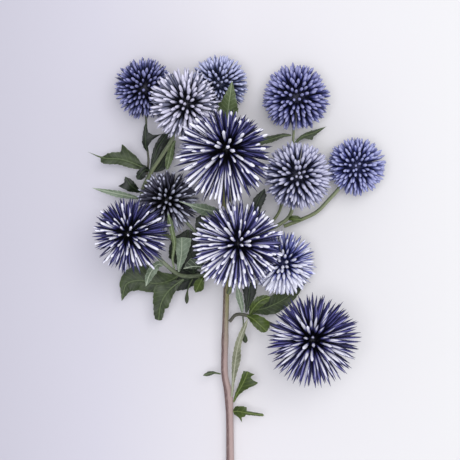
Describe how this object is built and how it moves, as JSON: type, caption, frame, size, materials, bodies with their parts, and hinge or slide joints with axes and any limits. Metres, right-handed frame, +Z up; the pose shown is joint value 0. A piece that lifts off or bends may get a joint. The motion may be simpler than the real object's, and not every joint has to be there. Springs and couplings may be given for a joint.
{
  "type": "globe thistle flower spray",
  "caption": "Cut branching stem with spiky blue-violet ball-shaped flower heads on thin stalks, and lobed, spine-tipped leaves; it lies on its back.",
  "frame": {"origin": "on the surface that the spray lies on, at the middle of its box", "axes": "+Y along the main stem from its cut end towards the heads, +X to the right of the spray seen from above, +Z up from the surface"},
  "size_m": [0.1478, 0.2446, 0.0846],
  "materials": {
    "floret": "matt, papery, pale lilac at the tips",
    "stem_bark": "matt, fine lengthwise ribs",
    "stalk_skin": "matt, downy",
    "leaf_green": "satin, leathery",
    "leaf_pale": "matt, downy underside"
  },
  "bodies": {
    "root": {"bract_inner_right": "leaf_green", "bud_pendant": "leaf_green", "bud_side": "leaf_green", "head_behind_centre": "floret", "head_centre": "floret", "head_crown": "floret", "head_inner_left": "floret", "head_inner_right": "floret", "head_left": "floret", "head_lower_right": "floret", "head_right": "floret", "head_top_left": "floret", "head_top_middle": "floret", "head_top_right": "floret", "head_upper_left": "floret", "leaf_behind_stalks": "leaf_green", "leaf_beside_stalk": "leaf_green", "leaf_between_heads": "leaf_green", "leaf_between_stalks": "leaf_green", "leaf_centre_back": "leaf_green", "leaf_centre_dark": "leaf_green", "leaf_centre_left": "leaf_pale", "leaf_centre_narrow": "leaf_green", "leaf_centre_upright": "leaf_pale", "leaf_collar": "leaf_green", "leaf_fold": "leaf_pale", "leaf_forked": "leaf_green", "leaf_low_left": "leaf_green", "leaf_low_left_droop": "leaf_green", "leaf_low_middle": "leaf_green", "leaf_needle": "leaf_pale", "leaf_olive": "leaf_green", "leaf_pale_hook": "leaf_pale", "leaf_right_bright": "leaf_green", "leaf_right_dark": "leaf_green", "leaf_right_long": "leaf_green", "leaf_right_low": "leaf_green", "leaf_right_pale": "leaf_pale", "leaf_side_long": "leaf_pale", "leaf_stem_fork": "leaf_green", "leaf_stem_left": "leaf_green", "leaf_stem_right": "leaf_green", "leaf_top_centre": "leaf_green", "leaf_upper_left": "leaf_green", "leaf_upper_left_low": "leaf_green", "leaf_upper_right": "leaf_green", "leaf_upper_right_tip": "leaf_green", "main_stem": "stem_bark", "stalk_behind_centre": "stalk_skin", "stalk_centre": "stalk_skin", "stalk_inner_left": "stalk_skin", "stalk_inner_right": "stalk_skin", "stalk_left": "stalk_skin", "stalk_lower_right": "stalk_skin", "stalk_right": "stalk_skin", "stalk_top_left": "stalk_skin", "stalk_top_middle": "stalk_skin", "stalk_top_right": "stalk_skin", "stalk_upper_left": "stalk_skin"}
  },
  "joints": []
}
